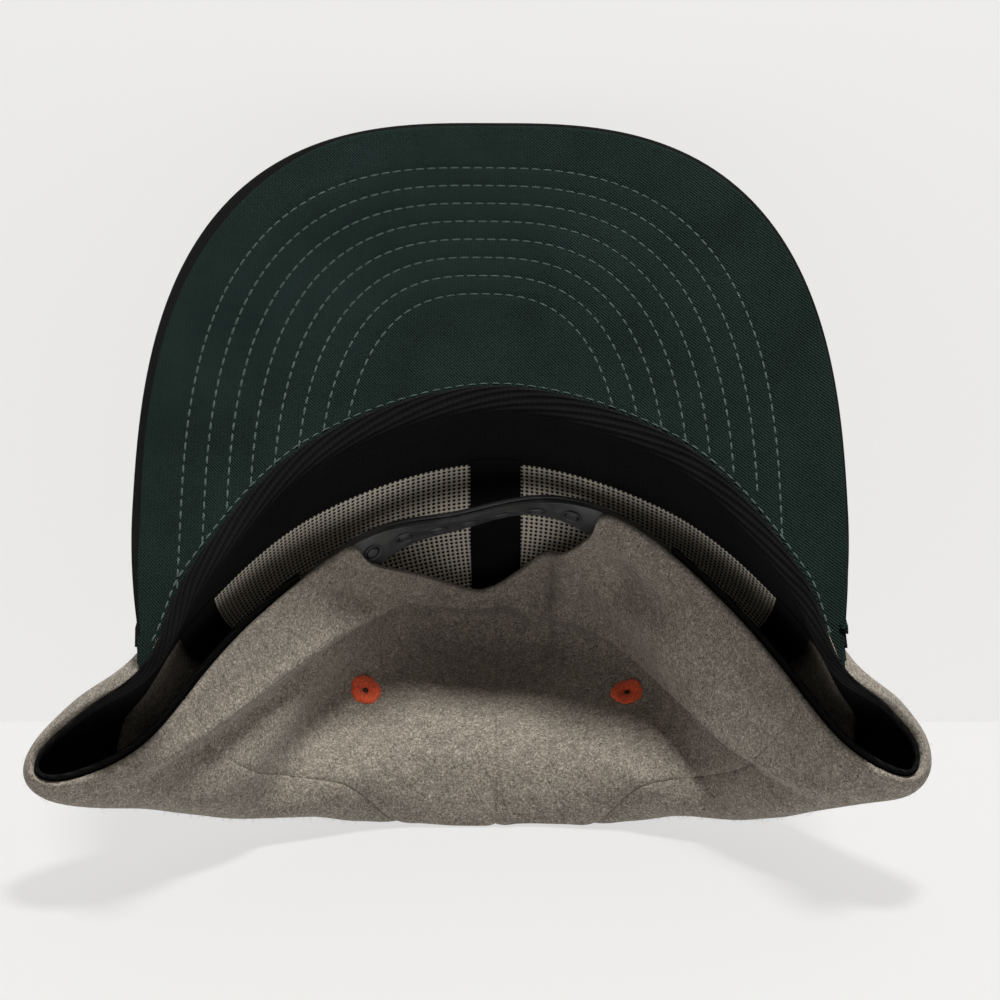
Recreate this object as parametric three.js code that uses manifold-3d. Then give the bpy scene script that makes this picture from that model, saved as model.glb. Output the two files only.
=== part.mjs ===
// Snapback cap, put down on its crown. The soft crown lies squashed on the floor, its back half has dropped
// forward into the hollow, and the flat peak stands up at the far side with its green underside to the front.
// Millimetres. X runs across the peak, Y from the dropped back towards the front panels, Z up from the floor.
import * as THREE from 'three';
import { mergeVertices } from 'three/addons/utils/BufferGeometryUtils.js';
import Module from 'manifold-3d';

const wasm = await Module();
wasm.setup();

// Peak, seen square to its underside
const peakHalfWidth = 91.1;
const peakReach = 83;
const peakShoulder = 124.2;
const peakRoundness = 2.6;
const wingTaper = 2.6;
const rootHalfWidth = 90.8;
const rootDepth = 119.9;
const peakLean = THREE.MathUtils.degToRad(41);
const peakBow = 17.5;
const wingLength = 30.2;
const wingShare = 0.84;
const peakRootEnd = 0.953;
const peakRows = 3;
const peakColumns = 17;
const peakOffset = -1.2;
const topCoverThickness = 1.8;
const underCoverThickness = 1.4;

// Crown as it lies
const rimHeight = 123.5;
const rimSetback = 3.8;
const foldHalfWidth = 111;
const lyingDepth = 80;
const crownLength = 155;
const crownEnd = 0.955;
const woolThickness = 2.2;
const archHeight = 50;
const floorSoftness = 2.4;
const foldPlay = 0.5;

// Linings
const bandWidth = 32;
const bandThickness = 1.4;
const meshThickness = 0.8;
const tapeWidth = 15;
const tapeThickness = 0.6;

// Snap strap
const strapWidth = 17;
const strapThickness = 1.2;
const strapInset = 2.5;
const strapHole = 4.2;
const strapPitch = 9;
const strapHoles = 7;
const pegClearance = 0.35;
const pegProud = 0.2;

// Eyelets and button
const eyeletDiameter = 8.5;
const eyeletHole = 2;
const eyeletThickness = 0.8;
const eyeletLift = { front: 0.35, side: 0.5, back: 1.35 };
const eyeletSides = 12;
const buttonDiameter = 14;
const buttonHeight = 4.2;

// Play between sewn pieces, and where the peak meets the crown
const gap = 0.3;
const seamGap = 0.7;
const seamPlay = 0.5;
const wingPlay = 1.9;
const strapSlack = 0.85;

// Finishes
const wool = { color: 0x6b6560, roughness: 0.95 };
const green = { color: 0x0f2a24, roughness: 0.9 };
const black = { color: 0x0c0c0d, roughness: 0.9 };
const mesh = { color: 0x9b958c, roughness: 0.85 };
const plastic = { color: 0x232427, roughness: 0.45 };
const orange = { color: 0xc7582c, roughness: 0.7 };

const across = new THREE.Vector3(1, 0, 0);
const outward = new THREE.Vector3(0, Math.sin(peakLean), Math.cos(peakLean));
const under = new THREE.Vector3(0, -Math.cos(peakLean), Math.sin(peakLean));
const rootMiddle = new THREE.Vector3(0, rimSetback, rimHeight);

// A point of the bowed peak: x across, t out from the root, and a depth below its underside
function peakPoint(x, t, depth) {
  const bow = peakBow * (x / peakHalfWidth) ** 2;
  return rootMiddle.clone()
    .addScaledVector(across, x)
    .addScaledVector(outward, t)
    .addScaledVector(under, bow - depth);
}

// The elliptical seam between peak and crown, by its share of the half width
function peakRoot(share) {
  const x = share * rootHalfWidth;
  return peakPoint(x, -rootDepth * (1 - Math.sqrt(1 - share * share)), 0);
}

// Lengths across, along the floor and up, as shares of the crown's size as it lies
function at(x, y, z) {
  return new THREE.Vector3(x * foldHalfWidth, y * lyingDepth, z * rimHeight);
}

// Sections of the right half from the rim to the button, on the cloth's outer face, front to back
const sections = [
  { place: 'front', rim: peakRoot(0), lip: at(0, 0.122, 0.941), band: at(0, 0.292, 0.816),
    wall: at(0, 0.55, 0.599), slope: at(0, 0.686, 0.392), base: at(0, 0.535, 0.149) },
  { place: 'brow', rim: peakRoot(0.53), lip: at(0.446, -0.082, 0.861), band: at(0.453, 0.08, 0.737),
    wall: at(0.449, 0.391, 0.529), slope: at(0.364, 0.525, 0.315), base: at(0.217, 0.45, 0.119) },
  { place: 'temple', rim: peakRoot(0.854), lip: at(0.721, -0.476, 0.671), band: at(0.745, -0.297, 0.564),
    wall: at(0.703, 0.048, 0.39), slope: at(0.526, 0.269, 0.217), base: at(0.298, 0.351, 0.082) },
  { place: 'peak end', rim: peakRoot(0.953), lip: at(0.808, -0.682, 0.57), band: at(0.825, -0.478, 0.464),
    wall: at(0.747, -0.155, 0.298), slope: at(0.552, 0.073, 0.149), base: at(0.316, 0.264, 0.045) },
  { place: 'corner', rim: at(1.001, -0.591, 0.38), lip: at(1.032, -0.51, 0.342), band: at(0.892, -0.285, 0.283),
    wall: at(0.725, -0.038, 0.156), slope: at(0.524, 0.048, 0.07), base: at(0.306, 0.163, 0) },
  { place: 'heel', rim: at(0.971, -0.744, 0.293), lip: at(0.969, -0.684, 0.244), band: at(0.812, -0.42, 0.17),
    wall: at(0.669, -0.16, 0.085), slope: at(0.469, -0.041, 0.03), base: at(0.279, 0.075, -0.024) },
  { place: 'flank', rim: at(0.8, -0.69, 0.364), lip: at(0.784, -0.664, 0.289), band: at(0.721, -0.508, 0.17),
    wall: at(0.596, -0.251, 0.074), slope: at(0.424, -0.133, 0.052), base: at(0.243, 0.056, -0.04) },
  { place: 'rear', rim: at(0.719, -0.526, 0.429), lip: at(0.69, -0.498, 0.358), band: at(0.604, -0.376, 0.23),
    wall: at(0.507, -0.175, 0.156), slope: at(0.362, -0.122, 0.126), base: at(0.198, 0.019, -0.045) },
  { place: 'flap', rim: at(0.561, -0.2, 0.553), lip: at(0.532, -0.183, 0.488), band: at(0.447, -0.102, 0.367),
    wall: at(0.418, 0.106, 0.254), slope: at(0.281, -0.064, 0.152), base: at(0.135, -0.006, -0.045) },
  { place: 'tab', rim: at(0.291, 0.071, 0.674), lip: at(0.281, 0.111, 0.613), band: at(0.234, 0.254, 0.49),
    wall: at(0.21, 0.432, 0.338), slope: at(0.145, -0.011, 0.16), base: at(0.072, -0.019, -0.045) },
  { place: 'back', rim: at(0, 0.081, 0.674), lip: at(0, 0.178, 0.632), band: at(0, 0.371, 0.544),
    wall: at(0, 0.555, 0.331), slope: at(0, -0.011, 0.16), base: at(0, -0.019, -0.045) },
];
const lengthwise = ['rim', 'lip', 'band', 'wall', 'slope', 'base'];
const stops = [0, 0.06, 0.2, 0.42, 0.64, 0.84, 1];
const apex = at(0, 0.257, 0.047);
const seam = { front: 0, temple: 2, rear: 7, back: 10 };
const lap = 2 * seam.back;
const archStart = 9;
const bandReach = 8.5;
const strapPlay = 0.05;
const peakEnd = 3;
const tapeLimit = 0.28;
const seamLimit = 0.2;

// Where the cloth was pushed out of the even shape, as shares of the same lengths
const pushes = [
  { what: 'strap drawn left', at: 10, down: 0, wide: 1.4, tall: 0.16, x: -0.07, y: 0, z: 0 },
  { what: 'right tab up', at: 9, down: 0.05, wide: 1, tall: 0.22, x: 0, y: 0.01, z: 0.038 },
  { what: 'left tab down', at: -9, down: 0.05, wide: 1, tall: 0.22, x: 0, y: -0.01, z: -0.038 },
  { what: 'arch lifted right', at: 9.5, down: 0.24, wide: 0.6, tall: 0.17, x: 0, y: 0, z: 0.06 },
  { what: 'arch lifted left', at: -9.3, down: 0.2, wide: 0.55, tall: 0.17, x: 0, y: 0, z: 0.045 },
  { what: 'arch hangs', at: -9.65, down: 0.36, wide: 0.5, tall: 0.15, x: 0, y: 0, z: -0.025 },
  { what: 'left corner drawn out', at: -4.5, down: 0, wide: 1.1, tall: 0.32, x: -0.085, y: 0, z: -0.015 },
];

// Centripetal Catmull-Rom step from b to c
function between(a, b, c, d, share) {
  const ab = Math.sqrt(Math.max(a.distanceTo(b), 1e-6));
  const bc = Math.sqrt(Math.max(b.distanceTo(c), 1e-6));
  const cd = Math.sqrt(Math.max(c.distanceTo(d), 1e-6));
  const point = new THREE.Vector3();
  for (const axis of ['x', 'y', 'z']) {
    const [p, q, r, s] = [a[axis], b[axis], c[axis], d[axis]];
    const leave = ((q - p) / ab - (r - p) / (ab + bc) + (r - q) / bc) * bc;
    const arrive = ((r - q) / bc - (s - q) / (bc + cd) + (s - r) / cd) * bc;
    point[axis] = q + share * (leave + share * (3 * (r - q) - 2 * leave - arrive
      + share * (2 * (q - r) + leave + arrive)));
  }
  return point;
}

// A section's point by its number round the crown; the left half mirrors the right one
function sectionPoint(number, key) {
  const whole = ((number % lap) + lap) % lap;
  const mirrored = whole > seam.back;
  const point = sections[mirrored ? lap - whole : whole][key].clone();
  if (mirrored) point.x = -point.x;
  return point;
}

function sharpRing(u, key) {
  const first = Math.floor(u);
  return between(sectionPoint(first - 1, key), sectionPoint(first, key),
    sectionPoint(first + 1, key), sectionPoint(first + 2, key), u - first);
}

const { smoothstep } = THREE.MathUtils;

// The ring through the sections, its folds between peak and arch rounded by a mean over both sides
function ring(u, key) {
  const side = Math.abs(((u + 1.5 * lap) % lap) - seam.back);
  const play = foldPlay * smoothstep(side, peakEnd, peakEnd + 0.8)
    * (1 - smoothstep(side, archStart - 1, archStart));
  return sharpRing(u - play, key).add(sharpRing(u + play, key)).multiplyScalar(0.25)
    .addScaledVector(sharpRing(u, key), 0.5);
}

// The crown's outer face: u counts sections round the rim from the front, v runs from rim to button
function crown(u, v) {
  const spine = lengthwise.map((key) => ring(u, key));
  spine.push(apex, ring(u + seam.back, 'base'));
  spine.unshift(spine[0].clone().multiplyScalar(2).sub(spine[1]));
  const down = THREE.MathUtils.clamp(v, 0, 1);
  let step = 0;
  while (step < stops.length - 2 && down > stops[step + 1]) step += 1;
  const share = (down - stops[step]) / (stops[step + 1] - stops[step]);
  const point = between(spine[step], spine[step + 1], spine[step + 2], spine[step + 3], share);
  if (v < 0) point.addScaledVector(spine[2].sub(spine[1]), v / stops[1]);
  for (const push of pushes) {
    const turn = ((u - push.at + 1.5 * lap) % lap) - lap / 2;
    const weight = Math.exp(-((turn / push.wide) ** 2) - (((v - push.down) / push.tall) ** 2));
    point.addScaledVector(at(push.x, push.y, push.z), weight);
  }
  point.z = (point.z + Math.hypot(point.z, floorSoftness)) / 2;
  return point;
}

function crownNormal(u, v) {
  const step = 0.01;
  const round = crown(u + step, v).sub(crown(u - step, v));
  const down = crown(u, v + step).sub(crown(u, v - step));
  return round.cross(down).normalize();
}

// The point a given depth inside the crown's outer face
function inside(u, v, depth) {
  return crown(u, v).addScaledVector(crownNormal(u, v), -depth);
}

// How far one section step reaches round the crown at (u, v)
function reach(u, v) {
  const step = 0.05;
  return crown(u + step, v).distanceTo(crown(u - step, v)) / (2 * step);
}

// A closed wall between two grids of points, face being the outer one; a round one joins its last column to its
// first. Each cell is cut along its shorter diagonal
function wall(face, back, round = false) {
  const columns = face.length;
  const rows = face[0].length;
  const points = [...face.flat(), ...back.flat()];
  const half = columns * rows;
  const id = (i, j) => (i % columns) * rows + j;
  const index = [];
  const addCell = (a, b, c, d) => {
    const shorter = points[a].distanceTo(points[c]) < points[b].distanceTo(points[d]);
    index.push(...(shorter ? [a, b, c, a, c, d] : [a, b, d, b, c, d]));
  };
  const lastColumn = round ? columns : columns - 1;
  for (let i = 0; i < lastColumn; i += 1) {
    for (let j = 0; j < rows - 1; j += 1) {
      const [a, b, c, d] = [id(i, j), id(i + 1, j), id(i + 1, j + 1), id(i, j + 1)];
      addCell(a, b, c, d);
      addCell(half + a, half + d, half + c, half + b);
    }
  }
  const edge = [];
  for (let i = 0; i < lastColumn; i += 1) {
    edge.push([id(i, 0), id(i + 1, 0)]);
    edge.push([id(i + 1, rows - 1), id(i, rows - 1)]);
  }
  for (let j = 0; !round && j < rows - 1; j += 1) {
    edge.push([id(columns - 1, j), id(columns - 1, j + 1)]);
    edge.push([id(0, j + 1), id(0, j)]);
  }
  for (const [a, b] of edge) index.push(b, a, half + a, b, half + a, half + b);
  const geometry = new THREE.BufferGeometry();
  geometry.setAttribute('position', new THREE.Float32BufferAttribute(points.flatMap((p) => p.toArray()), 3));
  geometry.setIndex(index);
  return geometry;
}

// How deep inside the outer face each lining lies
const lining = woolThickness + gap;
const tapeOnMesh = lining + meshThickness + gap;
const bandEnd = bandWidth / crownLength;
const liningStart = bandEnd + 2 * gap / crownLength;
const liningEnd = 0.9;
const archJoin = 0.61;
const rowStops = [
  0, 0.08, bandEnd, 0.285, 0.355, 0.41, 0.455, 0.53, archJoin, 0.69, 0.77, 0.84, liningEnd, crownEnd,
];
const liningRows = [liningStart, ...rowStops.filter((row) => row > liningStart && row <= liningEnd)];

// Columns from each section to the next, more of them where the cloth bends hard
const columnsPerSection = [4, 4, 3, 4, 4, 3, 3, 4, 4, 6];

function columns(from, to) {
  const list = [];
  for (let section = from; section < to; section += 1) {
    for (let i = 0; i < columnsPerSection[section]; i += 1) list.push(section + i / columnsPerSection[section]);
  }
  return [...list, to];
}

// Where the back opening starts to cut into the panels at u
function archTop(u) {
  const share = (seam.back - Math.abs(u)) / (seam.back - archStart);
  return share < 1 ? archHeight / crownLength * Math.sqrt(1 - share * share) : 0;
}

// The place a true width to one side of a seam, held back where the sections run together
function besideSeam(place, side, v, width, limit) {
  return place + side * Math.min(width / reach(place, v), limit);
}

// A column's place between the tapes' edges of two seams
function panelColumn(from, to, u, v) {
  const limit = tapeLimit * (to - from);
  const low = besideSeam(from, 1, v, tapeWidth / 2, limit);
  const high = besideSeam(to, -1, v, tapeWidth / 2, limit);
  return THREE.MathUtils.mapLinear(u, from, to, low, high);
}

// One panel's grid of [u, v], from seam to seam and from rim to button
function panelGrid(from, to, rows) {
  const inner = columns(from, to);
  const list = ['start', ...inner, 'end'];
  return list.map((name) => {
    const base = name === 'start' ? from : name === 'end' ? to : name;
    const top = archTop(base);
    return rows.map((row) => {
      const v = row < archJoin ? top + row * (archJoin - top) / archJoin : row;
      if (name === 'start') return [besideSeam(from, 1, v, seamGap / 2, seamLimit), v];
      if (name === 'end') return [besideSeam(to, -1, v, seamGap / 2, seamLimit), v];
      return [panelColumn(from, to, name, v), v];
    });
  });
}

function mirrorGrid(grid) {
  return grid.map((column) => column.map(([u, v]) => [-u, v])).reverse();
}

function layer(grid, depth, thickness) {
  return wall(grid.map((column) => column.map(([u, v]) => inside(u, v, depth))),
    grid.map((column) => column.map(([u, v]) => inside(u, v, depth + thickness))));
}

function solid(geometry) {
  const plain = geometry.clone();
  for (const name of Object.keys(plain.attributes)) if (name !== 'position') plain.deleteAttribute(name);
  const merged = mergeVertices(plain, 1e-4);
  return new wasm.Manifold(new wasm.Mesh({
    numProp: 3,
    vertProperties: new Float32Array(merged.attributes.position.array),
    triVerts: new Uint32Array(merged.index.array),
  }));
}

function geometryOf(body) {
  const result = body.getMesh();
  const geometry = new THREE.BufferGeometry();
  geometry.setAttribute('position', new THREE.BufferAttribute(new Float32Array(result.vertProperties), 3));
  geometry.setIndex(new THREE.BufferAttribute(new Uint32Array(result.triVerts), 1));
  return geometry;
}

// A round pin square to the crown at (u, v), from one depth to another
function pin(u, v, radius, from, to, sides) {
  const geometry = new THREE.CylinderGeometry(radius, radius, to - from, sides);
  const normal = crownNormal(u, v);
  geometry.applyQuaternion(new THREE.Quaternion().setFromUnitVectors(new THREE.Vector3(0, 1, 0), normal));
  const middle = inside(u, v, (from + to) / 2);
  geometry.translate(middle.x, middle.y, middle.z);
  return solid(geometry);
}

const cap = new THREE.Group();
cap.name = 'snapback_cap';

function add(name, geometry, finish) {
  geometry.computeVertexNormals();
  const piece = new THREE.Mesh(geometry, new THREE.MeshStandardMaterial({ metalness: 0, ...finish }));
  piece.name = name;
  cap.add(piece);
}

// Crown panels with their eyelet holes, and the embroidered eyelets round them
const panels = [
  { name: 'front', from: seam.front, to: seam.temple, eyelet: [1.05, 0.43] },
  { name: 'side', from: seam.temple, to: seam.rear, eyelet: [3.7, 0.43] },
  { name: 'back', from: seam.rear, to: seam.back, eyelet: [8.4, 0.462] },
];

// An eyelet at (u, v), lifted clear of the cloth's bend under it
function eyeletRing(u, v, clear) {
  const centre = crown(u, v);
  const normal = crownNormal(u, v);
  const first = crown(u + 0.02, v).sub(crown(u - 0.02, v)).normalize();
  const second = normal.clone().cross(first).normalize();
  const perSection = reach(u, v);
  const perLength = crown(u, v + 0.01).distanceTo(crown(u, v - 0.01)) / 0.02;
  const ringPoint = (angle, radius, depth) => {
    const along = radius * Math.cos(angle);
    const up = radius * Math.sin(angle);
    const lift = inside(u + along / perSection, v + up / perLength, depth).sub(centre).dot(normal);
    return centre.clone()
      .addScaledVector(first, along)
      .addScaledVector(second, up)
      .addScaledVector(normal, lift);
  };
  const face = (depth) => Array.from({ length: eyeletSides }, (_, k) => {
    const angle = -k / eyeletSides * 2 * Math.PI;
    return [ringPoint(angle, eyeletHole / 2, depth), ringPoint(angle, eyeletDiameter / 2, depth)];
  });
  return wall(face(-clear - eyeletThickness), face(-clear), true);
}

for (const [side, sign] of [['right', 1], ['left', -1]]) {
  for (const panel of panels) {
    const grid = panelGrid(panel.from, panel.to, rowStops);
    const cloth = layer(sign > 0 ? grid : mirrorGrid(grid), 0, woolThickness);
    const [u, v] = [sign * panel.eyelet[0], panel.eyelet[1]];
    const hole = pin(u, v, eyeletHole / 2, -woolThickness, 2 * woolThickness, 8);
    add(`${panel.name}_panel_${side}`, geometryOf(solid(cloth).subtract(hole)), wool);
    add(`${panel.name}_eyelet_${side}`, eyeletRing(u, v, eyeletLift[panel.name]), orange);
  }
}

// Mesh stiffeners behind the two front panels
const meshGrid = panelGrid(seam.front, seam.temple, liningRows);
add('front_mesh_right', layer(meshGrid, lining, meshThickness), mesh);
add('front_mesh_left', layer(mirrorGrid(meshGrid), lining, meshThickness), mesh);

// Bare tapes over the seams that show inside
function tapeGrid(place, before, after) {
  const columnAt = (v, side, span) => besideSeam(place, side, v, tapeWidth / 2, tapeLimit * span);
  return [
    liningRows.map((v) => [columnAt(v, -1, before), v]),
    liningRows.map((v) => [place, v]),
    liningRows.map((v) => [columnAt(v, 1, after), v]),
  ];
}

add('front_tape', layer(tapeGrid(seam.front, seam.temple, seam.temple), tapeOnMesh, tapeThickness), black);
const templeTape = tapeGrid(seam.temple, seam.temple - seam.front, seam.rear - seam.temple);
add('temple_tape_right', layer(templeTape, tapeOnMesh, tapeThickness), black);
add('temple_tape_left', layer(mirrorGrid(templeTape), tapeOnMesh, tapeThickness), black);
const rearTape = tapeGrid(seam.rear, seam.rear - seam.temple, seam.back - seam.rear);
add('rear_tape_right', layer(rearTape, lining, tapeThickness), black);
add('rear_tape_left', layer(mirrorGrid(rearTape), lining, tapeThickness), black);

// Sweatband from tab to tab
const bandRows = rowStops.filter((row) => row <= bandEnd);
const bandHalf = panels.flatMap(({ from, to }) => {
  const places = columns(from, to).filter((u) => u <= bandReach);
  return [
    bandRows.map((v) => [from, v]),
    ...places.map((u) => bandRows.map((v) => [panelColumn(from, to, u, v), v])),
  ];
});
add('sweatband', layer([...mirrorGrid(bandHalf.slice(1)), ...bandHalf], lining, bandThickness), black);

// The peak's outer edge from its tip (0) to the end of a wing (1), as x and t
function peakEdge(share) {
  const side = Math.sign(share);
  const along = Math.abs(share) / wingShare;
  if (along > 1) {
    const past = (Math.abs(share) - wingShare) / (1 - wingShare);
    return [side * (peakHalfWidth - wingTaper * past ** 2), peakReach - peakShoulder - past * wingLength];
  }
  const angle = along * Math.PI / 2;
  return [side * peakHalfWidth * Math.sin(angle) ** (2 / peakRoundness),
    peakReach - peakShoulder * (1 - Math.cos(angle) ** (2 / peakRoundness))];
}

// One face of a peak cover, at its depth below the underside, from the crown out to the edge
function peakFace(depth) {
  return Array.from({ length: 2 * peakColumns + 1 }, (_, column) => {
    const u = peakEnd * (column / peakColumns - 1);
    const root = inside(u, depth / crownLength, -seamPlay - wingPlay * (u / peakEnd) ** 4);
    const x = root.x;
    const t = root.clone().sub(rootMiddle).dot(outward);
    const angle = Math.asin(THREE.MathUtils.clamp(x / rootHalfWidth, -peakRootEnd, peakRootEnd));
    const [edgeX, edgeT] = peakEdge(angle / Math.asin(peakRootEnd));
    return Array.from({ length: peakRows + 1 }, (_, row) => {
      const share = row / peakRows;
      return peakPoint(x + share * (edgeX + peakOffset - x), t + share * (edgeT - t), depth);
    });
  });
}

add('peak_under_cover', wall(peakFace(0), peakFace(underCoverThickness)), green);
const topDepth = underCoverThickness + gap;
add('peak_top_cover', wall(peakFace(topDepth), peakFace(topDepth + topCoverThickness)), black);

// The two strips of the snap strap, pegs of the inner one in the holes of the outer one
const strapRows = [0, 0.5, 1].map((share) => (strapInset + share * strapWidth) / crownLength);
const strapMiddle = strapRows[1];
const strapCells = 20;
const strapGrid = Array.from({ length: strapCells + 1 }, (_, i) => {
  const u = THREE.MathUtils.lerp(bandReach + strapPlay, lap - bandReach - strapPlay, i / strapCells);
  return strapRows.map((v) => [u, v]);
});
const outerStrip = lining + strapSlack;
const innerStrip = outerStrip + strapThickness + gap;

// Section number a distance further round the rim
function stepRound(u, v, distance) {
  const steps = 8;
  let place = u;
  for (let i = 0; i < steps; i += 1) place += distance / steps / reach(place, v);
  return place;
}

const holePlaces = Array.from({ length: strapHoles }, (_, i) => (
  stepRound(seam.back, strapMiddle, (i - (strapHoles - 1) / 2) * strapPitch)
));
let holed = solid(layer(strapGrid, outerStrip, strapThickness));
let pegged = solid(layer(strapGrid, innerStrip, strapThickness));
for (const u of holePlaces) {
  holed = holed.subtract(pin(u, strapMiddle, strapHole / 2, outerStrip - 1, outerStrip + strapThickness + 1, 10));
  const peg = pin(u, strapMiddle, strapHole / 2 - pegClearance, outerStrip - pegProud,
    innerStrip + strapThickness / 2, 10);
  pegged = pegged.add(peg);
}
add('strap_with_holes', geometryOf(holed), plastic);
add('strap_with_pegs', geometryOf(pegged), plastic);

// Covered button where the six panels meet
const buttonAxis = new THREE.Vector3();
for (let u = 0; u < lap; u += 1) buttonAxis.add(crownNormal(u, crownEnd));
buttonAxis.normalize();
const buttonProfile = [[0, 0], [0.93, 0], [1, 0.2], [0.94, 0.55], [0.7, 0.85], [0.36, 0.97], [0, 1]]
  .map(([radius, height]) => new THREE.Vector2(radius * buttonDiameter / 2, height * buttonHeight));
const button = new THREE.LatheGeometry(buttonProfile, 16);
button.applyQuaternion(new THREE.Quaternion().setFromUnitVectors(new THREE.Vector3(0, 1, 0), buttonAxis));
const seat = crown(0, 1).addScaledVector(buttonAxis, gap);
button.translate(seat.x, seat.y, seat.z);
add('button', geometryOf(solid(button)), wool);

// The origin is the middle of the underside of the whole cap's box
const box = new THREE.Box3().setFromObject(cap);
cap.position.set(-(box.min.x + box.max.x) / 2, -(box.min.y + box.max.y) / 2, -box.min.z);

export default cap;
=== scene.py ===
import math

import bpy
import numpy as np
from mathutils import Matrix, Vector, noise


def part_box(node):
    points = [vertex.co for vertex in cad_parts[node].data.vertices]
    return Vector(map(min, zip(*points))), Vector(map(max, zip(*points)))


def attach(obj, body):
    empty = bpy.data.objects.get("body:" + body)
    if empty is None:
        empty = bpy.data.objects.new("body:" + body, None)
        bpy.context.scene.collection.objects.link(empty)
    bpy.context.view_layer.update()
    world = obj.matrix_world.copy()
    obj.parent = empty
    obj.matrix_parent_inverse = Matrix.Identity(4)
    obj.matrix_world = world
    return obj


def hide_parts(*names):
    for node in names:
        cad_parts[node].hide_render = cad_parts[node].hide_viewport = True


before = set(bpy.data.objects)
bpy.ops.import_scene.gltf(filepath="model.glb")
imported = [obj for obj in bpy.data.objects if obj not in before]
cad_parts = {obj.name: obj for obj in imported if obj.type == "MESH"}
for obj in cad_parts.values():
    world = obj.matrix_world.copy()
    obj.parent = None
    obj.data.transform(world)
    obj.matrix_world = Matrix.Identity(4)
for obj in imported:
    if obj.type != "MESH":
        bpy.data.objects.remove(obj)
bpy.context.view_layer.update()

bl_info = {
    "name": "Snapback Cap",
    "version": (1, 0, 0),
    "blender": (4, 5, 0),
    "location": "View3D > Sidebar > Cap",
    "description": "A wool snapback cap put down on its crown, with its peak standing up behind it",
    "category": "Object",
}

# Lengths are in millimetres until placed() turns them into the shared frame's metres
PLACE = np.array((4.204, 1.254, -0.247))
PEAK_HALF_WIDTH = 91.1
PEAK_REACH = 83
PEAK_SHOULDER = 124.2
PEAK_ROUNDNESS = 2.6
WING_TAPER = 2.6
WING_LENGTH = 30.2
WING_SHARE = 0.84
ROOT_HALF_WIDTH = 90.8
ROOT_DEPTH = 119.9
ROOT_END = 0.953
PEAK_LEAN = math.radians(41)
PEAK_BOW = 17.5
PEAK_OFFSET = -1.2
PEAK_END = 3
RIM_HEIGHT = 123.5
RIM_SETBACK = 3.8
FOLD_HALF_WIDTH = 111
LYING_DEPTH = 80
CROWN_LENGTH = 155
CROWN_END = 0.955
ARCH_HEIGHT = 50
ARCH_START = 9
ARCH_JOIN = 0.61
FLOOR_SOFTNESS = 2.4
FOLD_PLAY = 0.5
LAP = 20
WOOL = 2.2
BAND_WIDTH = 32
TAPE_WIDTH = 15
FLOOR_GAP = 0.35

# The crown's seams and the laps of cloth at them, counted in sections round the rim from the front
SEAMS = (0, 2, 7, 10)
SEAM_LAP = 0.034
PANELS = [("front", SEAMS[0], SEAMS[1]), ("side", SEAMS[1], SEAMS[2]), ("back", SEAMS[2], SEAMS[3])]

ROOT_MIDDLE = np.array((0, RIM_SETBACK, RIM_HEIGHT))
OUTWARD = np.array((0, math.sin(PEAK_LEAN), math.cos(PEAK_LEAN)))
UNDER = np.array((0, -math.cos(PEAK_LEAN), math.sin(PEAK_LEAN)))
SIZE = np.array((FOLD_HALF_WIDTH, LYING_DEPTH, RIM_HEIGHT))


def peak_point(x, t, depth):
    """A point of the bowed peak: x across, t out from the root, and a depth below its underside."""
    x, t, depth = np.broadcast_arrays(np.asarray(x, float), t, depth)
    bow = PEAK_BOW * (x / PEAK_HALF_WIDTH) ** 2
    flat = ROOT_MIDDLE + t[..., None] * OUTWARD + (bow - depth)[..., None] * UNDER
    flat[..., 0] += x
    return flat


def peak_root(share):
    drop = ROOT_DEPTH * (1 - math.sqrt(1 - share * share))
    return peak_point(share * ROOT_HALF_WIDTH, -drop, 0) / SIZE


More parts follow.
